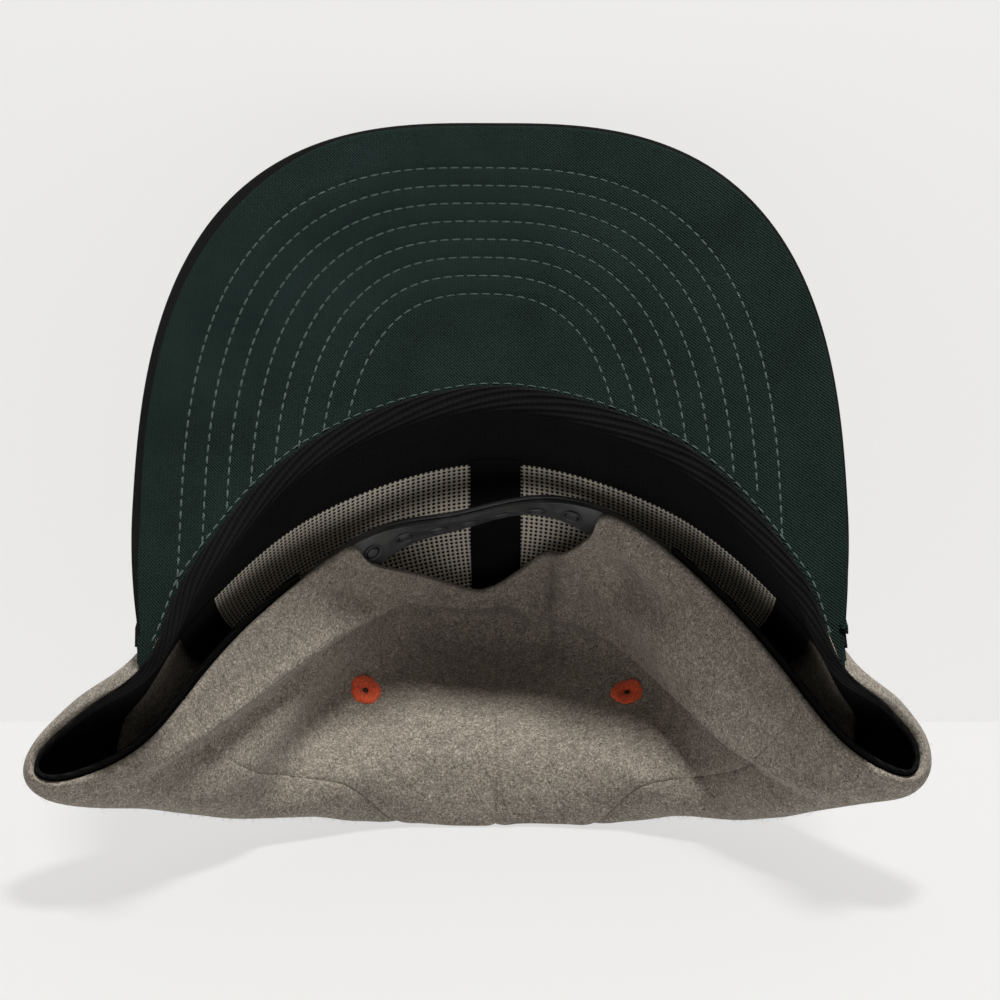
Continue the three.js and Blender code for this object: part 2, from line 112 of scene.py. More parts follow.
# The right half's sections, front to back, as shares of the lying crown: rim, lip, band, wall, slope, base
SECTIONS = [
    ("front", peak_root(0), (0, 0.122, 0.941), (0, 0.292, 0.816),
     (0, 0.55, 0.599), (0, 0.686, 0.392), (0, 0.535, 0.149)),
    ("brow", peak_root(0.53), (0.446, -0.082, 0.861), (0.453, 0.08, 0.737),
     (0.449, 0.391, 0.529), (0.364, 0.525, 0.315), (0.217, 0.45, 0.119)),
    ("temple", peak_root(0.854), (0.721, -0.476, 0.671), (0.745, -0.297, 0.564),
     (0.703, 0.048, 0.39), (0.526, 0.269, 0.217), (0.298, 0.351, 0.082)),
    ("peak end", peak_root(0.953), (0.808, -0.682, 0.57), (0.825, -0.478, 0.464),
     (0.747, -0.155, 0.298), (0.552, 0.073, 0.149), (0.316, 0.264, 0.045)),
    ("corner", (1.001, -0.591, 0.38), (1.032, -0.51, 0.342), (0.892, -0.285, 0.283),
     (0.725, -0.038, 0.156), (0.524, 0.048, 0.07), (0.306, 0.163, 0)),
    ("heel", (0.971, -0.744, 0.293), (0.969, -0.684, 0.244), (0.812, -0.42, 0.17),
     (0.669, -0.16, 0.085), (0.469, -0.041, 0.03), (0.279, 0.075, -0.024)),
    ("flank", (0.8, -0.69, 0.364), (0.784, -0.664, 0.289), (0.721, -0.508, 0.17),
     (0.596, -0.251, 0.074), (0.424, -0.133, 0.052), (0.243, 0.056, -0.04)),
    ("rear", (0.719, -0.526, 0.429), (0.69, -0.498, 0.358), (0.604, -0.376, 0.23),
     (0.507, -0.175, 0.156), (0.362, -0.122, 0.126), (0.198, 0.019, -0.045)),
    ("flap", (0.561, -0.2, 0.553), (0.532, -0.183, 0.488), (0.447, -0.102, 0.367),
     (0.418, 0.106, 0.254), (0.281, -0.064, 0.152), (0.135, -0.006, -0.045)),
    ("tab", (0.291, 0.071, 0.674), (0.281, 0.111, 0.613), (0.234, 0.254, 0.49),
     (0.21, 0.432, 0.338), (0.145, -0.011, 0.16), (0.072, -0.019, -0.045)),
    ("back", (0, 0.081, 0.674), (0, 0.178, 0.632), (0, 0.371, 0.544),
     (0, 0.555, 0.331), (0, -0.011, 0.16), (0, -0.019, -0.045)),
]
HALF = np.array([row[1:] for row in SECTIONS], float) * SIZE
RINGS = np.concatenate([HALF, HALF[9:0:-1] * (-1, 1, 1)]).transpose(1, 0, 2)
STOPS = np.array((0, 0.06, 0.2, 0.42, 0.64, 0.84, 1))
APEX = np.array((0, 0.257, 0.047)) * SIZE

# Where the cloth was pushed out of the even shape: place round and down, reach round and down, and the
# shift as shares of the sizes
PUSHES = [
    ("strap drawn left", 10, 0, 1.4, 0.16, (-0.07, 0, 0)),
    ("right tab up", 9, 0.05, 1, 0.22, (0, 0.01, 0.038)),
    ("left tab down", -9, 0.05, 1, 0.22, (0, -0.01, -0.038)),
    ("arch lifted right", 9.5, 0.24, 0.6, 0.17, (0, 0, 0.06)),
    ("arch lifted left", -9.3, 0.2, 0.55, 0.17, (0, 0, 0.045)),
    ("arch hangs", -9.65, 0.36, 0.5, 0.15, (0, 0, -0.025)),
    ("left corner drawn out", -4.5, 0, 1.1, 0.32, (-0.085, 0, -0.015)),
]


def placed(points):
    return (points + PLACE) / 1000


def smooth(x, low, high):
    share = np.clip((x - low) / (high - low), 0, 1)
    return share * share * (3 - 2 * share)


def between(a, b, c, d, share):
    """Centripetal Catmull-Rom step from b to c."""
    ab, bc, cd = (np.sqrt(np.maximum(np.linalg.norm(q - p, axis=-1), 1e-6))[..., None]
                  for p, q in ((a, b), (b, c), (c, d)))
    share = np.asarray(share)[..., None]
    leave = ((b - a) / ab - (c - a) / (ab + bc) + (c - b) / bc) * bc
    arrive = ((c - b) / bc - (d - b) / (bc + cd) + (d - c) / cd) * bc
    return b + share * (leave + share * (3 * (c - b) - 2 * leave - arrive
                                         + share * (2 * (b - c) + leave + arrive)))


def sharp_ring(u, row):
    first = np.floor(u).astype(int)
    corners = [RINGS[row][(first + step) % LAP] for step in (-1, 0, 1, 2)]
    return between(*corners, u - first)


def ring(u, row):
    side = np.abs((u + 1.5 * LAP) % LAP - LAP / 2)
    play = FOLD_PLAY * smooth(side, PEAK_END, PEAK_END + 0.8)
    play = play * (1 - smooth(side, ARCH_START - 1, ARCH_START))
    return (sharp_ring(u - play, row) + sharp_ring(u + play, row)) / 4 + sharp_ring(u, row) / 2


def crown(u, v):
    """The crown's outer face: u counts sections round the rim from the front, v runs from rim to button."""
    u, v = np.broadcast_arrays(np.asarray(u, float), np.asarray(v, float))
    spine = [ring(u, row) for row in range(6)]
    spine += [np.broadcast_to(APEX, spine[0].shape), ring(u + LAP / 2, 5)]
    spine.insert(0, 2 * spine[0] - spine[1])
    spine = np.stack(spine)
    down = np.clip(v, 0, 1)
    step = np.clip(np.searchsorted(STOPS, down) - 1, 0, 5)
    share = (down - STOPS[step]) / (STOPS[step + 1] - STOPS[step])
    pick = np.indices(u.shape)
    point = between(*(spine[(step + k, *pick)] for k in range(4)), share)
    point = point + np.minimum(v, 0)[..., None] / STOPS[1] * (spine[2] - spine[1])
    for _, place, low, wide, tall, shift in PUSHES:
        turn = (u - place + 1.5 * LAP) % LAP - LAP / 2
        weight = np.exp(-(turn / wide) ** 2 - ((v - low) / tall) ** 2)
        point = point + weight[..., None] * (np.array(shift) * SIZE)
    point[..., 2] = (point[..., 2] + np.hypot(point[..., 2], FLOOR_SOFTNESS)) / 2
    return point


def crown_normal(u, v):
    step = 0.01
    round_ = crown(u + step, v) - crown(u - step, v)
    down = crown(u, v + step) - crown(u, v - step)
    normal = np.cross(round_, down)
    return normal / np.linalg.norm(normal, axis=-1)[..., None]


def inside(u, v, depth):
    """The point a given depth inside the crown's outer face."""
    u, v = np.broadcast_arrays(np.asarray(u, float), np.asarray(v, float))
    return crown(u, v) - np.asarray(depth)[..., None] * crown_normal(u, v)


def reach(u, v):
    """Millimetres to one section step round the crown."""
    step = 0.05
    return np.linalg.norm(crown(u + step, v) - crown(u - step, v), axis=-1) / (2 * step)


def arch_top(u):
    share = np.clip((LAP / 2 - np.abs(u)) / (LAP / 2 - ARCH_START), 0, 1)
    return ARCH_HEIGHT / CROWN_LENGTH * np.sqrt(1 - share * share)


def unevenness(points, scale, strength):
    """Small soft bumps that differ all over a piece of cloth."""
    return np.array([noise.noise(Vector(point) / scale) for point in points]) * strength


def steps_along(points):
    """The running length along a polyline, in mm."""
    return np.concatenate([[0], np.cumsum(np.linalg.norm(np.diff(points, axis=0), axis=1))])


def deselect():
    for item in bpy.context.selected_objects:
        item.select_set(False)


def apply_modifier(piece, kind, name, **settings):
    modifier = piece.modifiers.new(name, kind)
    for key, value in settings.items():
        setattr(modifier, key, value)
    bpy.context.view_layer.objects.active = piece
    bpy.ops.object.modifier_apply(modifier=modifier.name)


def finish_piece(piece, material, stands_for=()):
    piece.data.materials.clear()
    piece.data.materials.append(material)
    deselect()
    piece.select_set(True)
    bpy.context.view_layer.objects.active = piece
    bpy.ops.object.shade_smooth()
    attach(piece, "root")
    if stands_for:
        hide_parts(*stands_for)
    return piece


def cloth_grid(name, across, along, shape):
    """A grid primitive shaped into cloth. shape(s, t) gives points and places on the pattern, in mm."""
    deselect()
    bpy.ops.mesh.primitive_grid_add(x_subdivisions=across, y_subdivisions=along, size=1)
    piece = bpy.context.active_object
    piece.name = name
    mesh = piece.data
    mesh.name = name
    flat = np.empty(len(mesh.vertices) * 3)
    mesh.vertices.foreach_get("co", flat)
    flat = flat.reshape(-1, 3)
    points, pattern = shape(flat[:, 0] + 0.5, flat[:, 1] + 0.5)
    mesh.vertices.foreach_set("co", placed(points).ravel())
    corner = np.empty(len(mesh.loops), int)
    mesh.loops.foreach_get("vertex_index", corner)
    mesh.uv_layers[0].data.foreach_set("uv", (pattern[corner] / 1000).ravel())
    mesh.update()
    return piece


def thicken(piece, thickness, soft_edge=True):
    apply_modifier(piece, "SOLIDIFY", "Cloth", thickness=thickness / 1000, offset=-1,
                   use_quality_normals=True)
    if soft_edge:
        apply_modifier(piece, "SUBSURF", "Soft edge", levels=1, render_levels=1)


def repeated(name, master, matrices):
    """One mesh of many copies of a master piece, which is removed. matrices are 4 x 4, in metres."""
    vertices = np.empty(len(master.data.vertices) * 3)
    master.data.vertices.foreach_get("co", vertices)
    vertices = np.c_[vertices.reshape(-1, 3), np.ones(len(master.data.vertices))]
    faces = [tuple(face.vertices) for face in master.data.polygons]
    matrices = np.asarray(matrices)
    points = np.einsum("nij,vj->nvi", matrices[:, :3, :], vertices).reshape(-1, 3)
    count = len(vertices)
    every = [tuple(index + count * copy for index in face)
             for copy in range(len(matrices)) for face in faces]
    mesh = bpy.data.meshes.new(name)
    mesh.from_pydata(points.tolist(), [], every)
    mesh.update()
    piece = bpy.data.objects.new(name, mesh)
    bpy.context.scene.collection.objects.link(piece)
    bpy.data.objects.remove(master)
    return piece


def axes_matrix(origin, along, up, sizes):
    """4 x 4 matrices whose X runs along, whose Z points up, with a size for each axis. Arrays of n rows."""
    along = along / np.linalg.norm(along, axis=-1)[..., None]
    up = up - np.sum(up * along, axis=-1)[..., None] * along
    up = up / np.linalg.norm(up, axis=-1)[..., None]
    side = np.cross(up, along)
    matrices = np.zeros((len(origin), 4, 4))
    for column, (axis, size) in enumerate(zip((along, side, up), sizes)):
        matrices[:, :3, column] = axis * np.asarray(size)[..., None]
    matrices[:, :3, 3] = origin
    matrices[:, 3, 3] = 1
    return matrices


# Materials

def new_material(name, roughness=0.9, **sockets):
    material = bpy.data.materials.new(name)
    material.use_nodes = True
    shader = material.node_tree.nodes["Principled BSDF"]
    shader.inputs["Roughness"].default_value = roughness
    for key, value in sockets.items():
        shader.inputs[key.replace("_", " ")].default_value = value
    return material, material.node_tree, shader


def node(tree, kind, inputs=None, **settings):
    item = tree.nodes.new(kind)
    for key, value in settings.items():
        setattr(item, key, value)
    for key, value in (inputs or {}).items():
        if isinstance(value, bpy.types.NodeSocket):
            tree.links.new(value, item.inputs[key])
        else:
            item.inputs[key].default_value = value
    return item


def math_node(tree, operation, *values):
    return node(tree, "ShaderNodeMath", dict(enumerate(values)), operation=operation).outputs[0]


def mixed(tree, share, first, second):
    item = node(tree, "ShaderNodeMix", {"Factor": share, 6: first, 7: second}, data_type="RGBA")
    return item.outputs[2]


def ramp(tree, value, stops):
    item = node(tree, "ShaderNodeValToRGB", {"Fac": value})
    elements = item.color_ramp.elements
    while len(elements) < len(stops):
        elements.new(0.5)
    for element, (place, shade) in zip(elements, stops):
        element.position = place
        element.color = (shade, shade, shade, 1) if isinstance(shade, (int, float)) else (*shade[:3], 1)
    return item.outputs["Color"]


def new_group(name, inputs, outputs):
    group = bpy.data.node_groups.new(name, "ShaderNodeTree")
    for kind, sockets in (("INPUT", inputs), ("OUTPUT", outputs)):
        for label, socket_type, default in sockets:
            socket = group.interface.new_socket(label, in_out=kind, socket_type=socket_type)
            if default is not None:
                socket.default_value = default
    return group, group.nodes.new("NodeGroupInput"), group.nodes.new("NodeGroupOutput")


def fibre_group():
    """Short tangled fibres: a light-to-dark mask and a height, at a scale per metre."""
    group, start, end = new_group(
        "Tangled Fibres",
        [("Vector", "NodeSocketVector", None), ("Scale", "NodeSocketFloat", 900.0)],
        [("Mask", "NodeSocketFloat", None), ("Height", "NodeSocketFloat", None)])
    bend = node(group, "ShaderNodeTexNoise",
                {"Vector": start.outputs["Vector"], "Scale": 500.0, "Detail": 2.0})
    shifted = node(group, "ShaderNodeVectorMath", {0: bend.outputs["Color"], 1: (0.5, 0.5, 0.5)},
                   operation="SUBTRACT").outputs[0]
    small = node(group, "ShaderNodeVectorMath", {0: shifted, "Scale": 0.0016}, operation="SCALE").outputs[0]
    bent = node(group, "ShaderNodeVectorMath", {0: start.outputs["Vector"], 1: small}).outputs[0]
    masks = []
    lies = [
        ((0.3, 0.5, 0.2), (1, 0.4, 1)),
        ((1.1, 0.2, 1.4), (1, 1, 0.4)),
        ((0.5, 1.3, 2.3), (0.4, 1, 1)),
    ]
    for turn, stretch in lies:
        place = node(group, "ShaderNodeMapping", {"Vector": bent, "Rotation": turn, "Scale": stretch})
        grain = node(group, "ShaderNodeTexNoise", {
            "Vector": place.outputs[0], "Scale": start.outputs["Scale"], "Detail": 2.0, "Roughness": 0.6})
        masks.append(grain.outputs["Fac"])
    most = math_node(group, "MAXIMUM", math_node(group, "MAXIMUM", masks[0], masks[1]), masks[2])
    least = math_node(group, "MINIMUM", math_node(group, "MINIMUM", masks[0], masks[1]), masks[2])
    total = math_node(group, "ADD", most, least)
    half = math_node(group, "MULTIPLY", total, 0.5)
    group.links.new(half, end.inputs["Mask"])
    group.links.new(most, end.inputs["Height"])
    return group


def weave_group():
    """Slanted twill lines from a pattern place in metres: a height, at a pitch in metres and a slope."""
    group, start, end = new_group(
        "Twill Weave",
        [("Vector", "NodeSocketVector", None), ("Pitch", "NodeSocketFloat", 0.0007),
         ("Slope", "NodeSocketFloat", 1.0)],
        [("Height", "NodeSocketFloat", None)])
    split = node(group, "ShaderNodeSeparateXYZ", {"Vector": start.outputs["Vector"]})
    sideways = math_node(group, "MULTIPLY", split.outputs[0], start.outputs["Slope"])
    slanted = math_node(group, "ADD", sideways, split.outputs[1])
    waves = []
    for run in (slanted, split.outputs[0]):
        turns = math_node(group, "MULTIPLY", run, 2 * math.pi)
        waves.append(math_node(group, "SINE", math_node(group, "DIVIDE", turns, start.outputs["Pitch"])))
    ridge = waves[0]
    beat = math_node(group, "MULTIPLY", waves[1], 0.35)
    rough = node(group, "ShaderNodeTexNoise",
                 {"Vector": start.outputs["Vector"], "Scale": 1500.0, "Detail": 2.0})
    total = math_node(group, "ADD", math_node(group, "ADD", ridge, beat), rough.outputs["Fac"])
    group.links.new(math_node(group, "MULTIPLY", total, 0.5), end.inputs["Height"])
    return group


def use_group(tree, group, inputs):
    return node(tree, "ShaderNodeGroup", inputs, node_tree=group)


def multiplied(tree, first, second):
    return node(tree, "ShaderNodeMix", {"Factor": 1.0, 6: first, 7: second}, data_type="RGBA",
                blend_type="MULTIPLY").outputs[2]


def bump(tree, shader, height, distance, strength=1.0):
    item = node(tree, "ShaderNodeBump", {"Height": height, "Distance": distance, "Strength": strength})
    tree.links.new(item.outputs[0], shader.inputs["Normal"])


def wool_material(colours):
    """Grey-brown felted wool of dark, mid and pale fibres."""
    material, tree, shader = new_material("Melange Wool", 0.95, Sheen_Weight=0.06, Specular_IOR_Level=0.12)
    where = node(tree, "ShaderNodeTexCoord").outputs["Object"]
    fine = use_group(tree, GROUPS["fibres"], {"Vector": where, "Scale": 2300.0})
    tone = ramp(tree, fine.outputs["Mask"], [(0.34, colours.wool_dark[:]), (0.5, colours.wool_mid[:]),
                                             (0.66, colours.wool_pale[:])])
    clouds = node(tree, "ShaderNodeTexNoise",
                  {"Vector": where, "Scale": 330.0, "Detail": 6.0, "Roughness": 0.75})
    blotch = ramp(tree, clouds.outputs["Fac"], [(0.32, 0.74), (0.68, 1.2)])
    tree.links.new(multiplied(tree, tone, blotch), shader.inputs["Base Color"])
    bump(tree, shader, fine.outputs["Height"], 0.00045, 0.8)
    return material


def twill_material(name, colour, pitch, depth, slope=1.0, contrast=0.25, nap=0.3, specular=0.06):
    """Woven cloth whose threads follow the piece's own pattern map, with painted shade between the threads
    and painted light on them.
    """
    material, tree, shader = new_material(name, 0.9, Specular_IOR_Level=specular)
    cloth = node(tree, "ShaderNodeUVMap").outputs["UV"]
    where = node(tree, "ShaderNodeTexCoord").outputs["Object"]
    twill = use_group(tree, GROUPS["weave"], {"Vector": cloth, "Pitch": pitch, "Slope": slope})
    fuzz = use_group(tree, GROUPS["fibres"], {"Vector": where, "Scale": 1300.0})
    clouds = node(tree, "ShaderNodeTexNoise",
                  {"Vector": where, "Scale": 45.0, "Detail": 4.0, "Roughness": 0.65})
    dark = tuple(value * (1 - contrast) for value in colour[:3])
    pale = tuple(min(1, value * (1 + contrast) + 0.01 * contrast) for value in colour[:3])
    # The weave's low places are painted darker and its raised threads paler: painted shade and light
    thread = ramp(tree, twill.outputs["Height"], [(0.0, dark), (0.75, pale)])
    napped = mixed(tree, math_node(tree, "MULTIPLY", fuzz.outputs["Mask"], nap), thread, (*pale, 1))
    blotch = ramp(tree, clouds.outputs["Fac"], [(0.3, 0.8), (0.7, 1.15)])
    tree.links.new(multiplied(tree, napped, blotch), shader.inputs["Base Color"])
    mixed_height = math_node(tree, "ADD", twill.outputs["Height"],
                             math_node(tree, "MULTIPLY", fuzz.outputs["Height"], nap * 2))
    bump(tree, shader, mixed_height, depth, 0.8)
    return material


def mesh_material(colours):
    """Stiff open mesh: pale threads round small holes set in staggered rows, the holes painted dark as the
    shade seen through them.
    """
    material, tree, shader = new_material("Lining Mesh", 0.8, Specular_IOR_Level=0.25)
    cloth = node(tree, "ShaderNodeUVMap").outputs["UV"]
    split = node(tree, "ShaderNodeSeparateXYZ", {"Vector": cloth})
    pitch, slope = 0.0023, 0.6
    waves = []
    for sign in (1, -1):
        along = math_node(tree, "MULTIPLY", split.outputs[1], sign * slope)
        total = math_node(tree, "ADD", split.outputs[0], along)
        waves.append(math_node(tree, "SINE", math_node(tree, "MULTIPLY", total, 2 * math.pi / pitch)))
    product = math_node(tree, "MULTIPLY", waves[0], waves[1])
    thread = node(tree, "ShaderNodeTexNoise", {"Vector": cloth, "Scale": 1700.0, "Detail": 2.0})
    uneven = math_node(tree, "ADD", product, math_node(tree, "MULTIPLY", thread.outputs["Fac"], 0.3))
    holes = ramp(tree, uneven, [(0.26, 0.0), (0.44, 1.0)])
    # The holes get a painted shade colour, for the dark seen through the mesh
    shade = mixed(tree, holes, tuple(colours.mesh), tuple(colours.mesh_hole_shade))
    tree.links.new(shade, shader.inputs["Base Color"])
    bump(tree, shader, math_node(tree, "SUBTRACT", 1.0, uneven), 0.0004, 0.8)
    return material


def plastic_material(colours):
    """Moulded strap plastic with a fine grain and light scuffs."""
    material, tree, shader = new_material("Strap Plastic", 0.42, Coat_Weight=0.12)
    where = node(tree, "ShaderNodeTexCoord").outputs["Object"]
    scuffs = node(tree, "ShaderNodeTexNoise",
                  {"Vector": where, "Scale": 220.0, "Detail": 5.0, "Roughness": 0.7})
    worn = ramp(tree, scuffs.outputs["Fac"], [(0.45, 0.0), (0.7, 0.5)])
    tone = mixed(tree, worn, tuple(colours.plastic), tuple(colours.scuff))
    tree.links.new(tone, shader.inputs["Base Color"])
    dull = ramp(tree, scuffs.outputs["Fac"], [(0.3, 0.34), (0.7, 0.55)])
    tree.links.new(dull, shader.inputs["Roughness"])
    grain = node(tree, "ShaderNodeTexNoise", {"Vector": where, "Scale": 2600.0, "Detail": 2.0})
    bump(tree, shader, grain.outputs["Fac"], 0.00008, 0.6)
    return material


def thread_material(name, colour, sheen=0.3):
    """Twisted thread, with painted shade in its hollows and painted light on its raised twists."""
    material, tree, shader = new_material(name, 0.7, Sheen_Weight=sheen)
    where = node(tree, "ShaderNodeTexCoord").outputs["Object"]
    grain = node(tree, "ShaderNodeTexNoise", {"Vector": where, "Scale": 1800.0, "Detail": 3.0})
    dark = tuple(value * 0.6 for value in colour[:3])
    pale = tuple(min(1, value * 1.25) for value in colour[:3])
    # The grain darkens the hollows and lightens the raised twists: painted shade and light
    tone = ramp(tree, grain.outputs["Fac"], [(0.35, dark), (0.65, pale)])
    tree.links.new(tone, shader.inputs["Base Color"])
    bump(tree, shader, grain.outputs["Fac"], 0.0002, 0.6)
    return material


def stage_material(name, colour, glow):
    """Matt paper that glows a little, so that shadows on it stay pale, and that is clear from its back."""
    material, tree, shader = new_material(name, 0.9, Emission_Color=(1, 0.995, 0.985, 1),
                                          Emission_Strength=glow)
    where = node(tree, "ShaderNodeTexCoord").outputs["Object"]
    clouds = node(tree, "ShaderNodeTexNoise", {"Vector": where, "Scale": 3.0, "Detail": 2.0})
    pale = tuple(min(1, value * 1.02) for value in colour[:3])
    tree.links.new(ramp(tree, clouds.outputs["Fac"], [(0.3, tuple(colour[:3])), (0.7, pale)]),
                   shader.inputs["Base Color"])
    front = math_node(tree, "SUBTRACT", 1.0, node(tree, "ShaderNodeNewGeometry").outputs["Backfacing"])
    tree.links.new(front, shader.inputs["Alpha"])
    return material


GROUPS = {}
FINISHES = {}


def colour_prop(name, description, value):
    return bpy.props.FloatVectorProperty(name=name, description=description, default=(*value, 1),
                                         size=4, min=0, max=1, subtype="COLOR")


class CapSizes(bpy.types.PropertyGroup):
    seam_groove: bpy.props.FloatProperty(
        name="Seam groove", description="How far the cloth turns in at a crown seam, in mm",
        default=0.4, min=0)
    cloth_cell: bpy.props.FloatProperty(
        name="Cloth cell", description="Size of the crown's grid cells, in mm", default=2.3, min=1)
    stitch_length: bpy.props.FloatProperty(
        name="Stitch length", description="Length of one stitch on the peak, in mm", default=2.5, min=1)
    stitch_rows: bpy.props.IntProperty(
        name="Stitch rows", description="Rows of stitching round the peak", default=8, min=0)
    fuzz_count: bpy.props.IntProperty(
        name="Fuzz", description="Loose fibres standing out of the wool", default=9000, min=0)


class CapColours(bpy.types.PropertyGroup):
    wool_dark: colour_prop("Wool, dark", "Darkest fibres of the wool", (0.062, 0.053, 0.042))
    wool_mid: colour_prop("Wool, mid", "Middle tone of the wool", (0.235, 0.205, 0.172))
    wool_pale: colour_prop("Wool, pale", "Palest fibres of the wool", (0.50, 0.46, 0.40))
    green: colour_prop("Underpeak", "Twill under the peak", (0.0046, 0.0120, 0.0102))
    black: colour_prop("Black cloth", "Sweatband, tapes and the peak's upper side", (0.005, 0.005, 0.0052))
    mesh: colour_prop("Mesh", "Threads of the lining mesh", (0.68, 0.62, 0.53))
    # Painted shade: the dark seen through the mesh's holes
    mesh_hole_shade: colour_prop("Mesh hole shade", "Seen through the mesh", (0.012, 0.011, 0.010))
    plastic: colour_prop("Strap", "Strap plastic", (0.028, 0.030, 0.033))
    scuff: colour_prop("Strap scuffs", "Worn places on the strap", (0.09, 0.095, 0.1))
    green_thread: colour_prop("Peak stitching", "Thread of the peak's rows", (0.022, 0.05, 0.042))
    orange: colour_prop("Eyelets", "Eyelet thread", (0.85, 0.105, 0.026))
    # Painted shade for the dark discs in the eyelets' middles
    hole: colour_prop("Eyelet hole shade", "Shade inside the eyelets", (0.02, 0.012, 0.009))
    floor: colour_prop("Floor", "Floor under the cap", (0.12, 0.12, 0.118))
    wall: colour_prop("Wall", "Wall behind the cap", (0.15, 0.15, 0.148))


# The mesh goes from behind the sweatband down to near the button, and so do the tapes
LINING_TOP = BAND_WIDTH / CROWN_LENGTH - 0.02
LINING_END = 0.9
# How deep each lining lies inside the wool's outer face, and how thick it is, in mm
MESH_DEPTH, MESH_THICKNESS = 3.3, 0.7
FRONT_TAPE_DEPTH, TAPE_THICKNESS = 4.2, 0.5
SIDE_TAPES = [("temple", SEAMS[1], 4.1), ("rear", SEAMS[2], 3.1)]
BAND_DEPTH, BAND_THICKNESS = 3.7, 1.1
BAND_END = 8.5
BAND_OVER_RIM = 0.012
# One section's usual width, in mm, for the patterns of the linings
SECTION_WIDTH = 42


def seam_distance(u, v):
    """Millimetres to the nearest crown seam."""
    nearest = np.min([np.abs(np.abs(u) - seam) for seam in SEAMS], axis=0)
    return nearest * reach(u, v)


# The line along which the dropped back overhangs: sections round from the front, and places down
OVERHANG = np.array([
    (5.6, 0.11), (6.35, 0.147), (6.93, 0.175), (7.62, 0.245), (8.2, 0.355), (8.77, 0.395), (9.0, 0.405),
    (9.57, 0.42), (9.95, 0.37), (10.5, 0.35), (10.77, 0.33), (11.0, 0.28), (11.4, 0.19), (11.6, 0.165),
    (12.1, 0.14), (12.7, 0.11), (13.3, 0.073), (14.0, 0.043), (14.6, 0.02),
])
# Folds and dents pressed into it: place round and down, reach round and down, and depth in mm
FOLDS = [
    ("dent under the right tab", 8.78, 0.17, 0.2, 0.055, 4.8),
    ("dent's tail", 8.5, 0.13, 0.22, 0.035, 2.4),
    ("fold beside the arch", 9.46, 0.36, 0.09, 0.1, 3.2),
    ("bulge beside the fold", 9.22, 0.3, 0.12, 0.1, -1.6),
    ("pocket under the left tab", -8.75, 0.12, 0.16, 0.05, 2.6),
    ("bulge under the left arch", -9.2, 0.27, 0.25, 0.06, -1.3),
    ("left slope", -8.3, 0.5, 0.5, 0.07, 1.2),
    ("right slope", 8.9, 0.55, 0.4, 0.06, 1.0),
]


def pressed(u, v):
    """How far the overhang, folds and dents press the cloth in, in mm."""
    turn = np.mod(u, LAP)
    line = np.interp(turn, OVERHANG[:, 0], OVERHANG[:, 1])
    below = v - line
    strength = smooth(turn, 5.6, 7.2) * (1 - smooth(turn, 13.4, 14.6))
    step = smooth(below, -0.008, 0.024) * np.exp(-(np.maximum(below, 0) / 0.13) ** 2)
    lip = np.exp(-((below + 0.014) / 0.016) ** 2)
    total = strength * (4.4 * step - 1.3 * lip)
    for _, place, low, wide, tall, depth in FOLDS:
        away = (u - place + 1.5 * LAP) % LAP - LAP / 2
        total = total + depth * np.exp(-(away / wide) ** 2 - ((v - low) / tall) ** 2)
    return total


def wool_relief(u, v):
    """How far the wool stands in (mm) from the even surface: seams, puckers, folds and soft unevenness."""
    sizes = bpy.context.scene.cap_sizes
    distance = seam_distance(u, v)
    groove = sizes.seam_groove * np.exp(-(distance / 0.9) ** 2)
    ridge = -0.25 * np.exp(-((distance - 3.2) / 1.8) ** 2)
    even = crown(u, v)
    bumps = unevenness(even, 17, 0.7) + unevenness(even + 90, 42, 1.0)
    quiet = smooth(v, 0, 0.12)
    return groove + ridge + bumps * quiet + pressed(u, v)


def panel_shape(low, high, sign):
    """Maps a grid's s, t onto one crown panel."""
    fine = np.linspace(low, high, 160)
    rim = crown(fine, arch_top(fine))
    lower = crown(fine, np.full(fine.shape, 0.45))
    along = (steps_along(rim) + steps_along(lower)) / 2
    width = along[-1]

    def shape(s, t):
        share = s if sign > 0 else 1 - s
        u = np.interp(share, along / width, fine) + SEAM_LAP * (2 * share - 1) ** 9
        top = arch_top(u)
        row = t * CROWN_END
        v = np.where(row < ARCH_JOIN, top + row * (ARCH_JOIN - top) / ARCH_JOIN, row)
        pattern = np.c_[share * width, v * CROWN_LENGTH]
        u = sign * u
        points = inside(u, v, wool_relief(u, v))
        points[:, 2] = np.maximum(points[:, 2], FLOOR_GAP)
        return points, pattern
    return shape, width


class CAP_OT_crown(bpy.types.Operator):
    """Six wool panels of the crown, with their turned-in seams"""
    bl_idname = "cap.crown"
    bl_label = "Crown panels"

    def execute(self, context):
        sizes = context.scene.cap_sizes
        for side, sign in (("right", 1), ("left", -1)):
            for name, low, high in PANELS:
                shape, width = panel_shape(low, high, sign)
                across = int(width / sizes.cloth_cell)
                along = int(CROWN_LENGTH / sizes.cloth_cell)
                piece = cloth_grid(f"wool_{name}_{side}", across, along, shape)
                thicken(piece, WOOL)
                finish_piece(piece, FINISHES["wool"], (f"{name}_panel_{side}",))
        return {"FINISHED"}


def strip_shape(low, high, v_low, v_high, depth):
    """Maps a grid onto a lining that faces into the crown. depth(u, v) is in mm."""
    def shape(s, t):
        u = high + s * (low - high)
        v = v_low + t * (v_high - v_low)
        return inside(u, v, depth(u, v) + pressed(u, v)), np.c_[u * SECTION_WIDTH, v * CROWN_LENGTH]
    return shape


def tape_shape(place, depth):
    """Maps a grid onto a tape over the seam at a section, narrower where the sections crowd."""
    limit = 0.56 if abs(place) < PEAK_END else 0.9

    def shape(s, t):
        v = LINING_TOP + t * (LINING_END - LINING_TOP)
        spot = np.full(v.shape, float(place))
        half = np.minimum(TAPE_WIDTH / 2 / reach(spot, v), limit)
        u = spot + half * (1 - 2 * s)
        return inside(u, v, depth + pressed(u, v)), np.c_[s * TAPE_WIDTH, v * CROWN_LENGTH]
    return shape


def mesh_depth(u, v):
    return np.full(u.shape, MESH_DEPTH)


